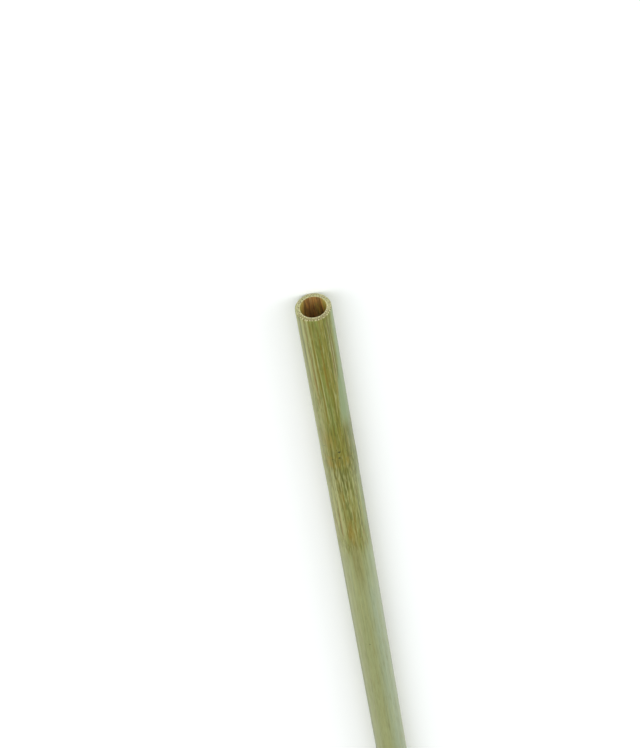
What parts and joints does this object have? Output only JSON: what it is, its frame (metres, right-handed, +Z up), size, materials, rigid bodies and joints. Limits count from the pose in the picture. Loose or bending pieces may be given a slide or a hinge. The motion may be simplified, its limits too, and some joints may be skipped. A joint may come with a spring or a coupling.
{
  "type": "bamboo drinking straw",
  "caption": "Reusable drinking straw: a straight thin bamboo culm with an open bore, scraped sides, sanded square ends and a drilled-out joint.",
  "frame": {"origin": "on the surface that the straw lies on, under the middle of its length and width", "axes": "+X along the straw towards the mouth, +Z up, with the straw lying on its side"},
  "size_m": [0.2, 0.008, 0.008],
  "materials": {
    "bamboo": "satin"
  },
  "bodies": {
    "root": {"bamboo_straw": "bamboo"}
  },
  "joints": []
}
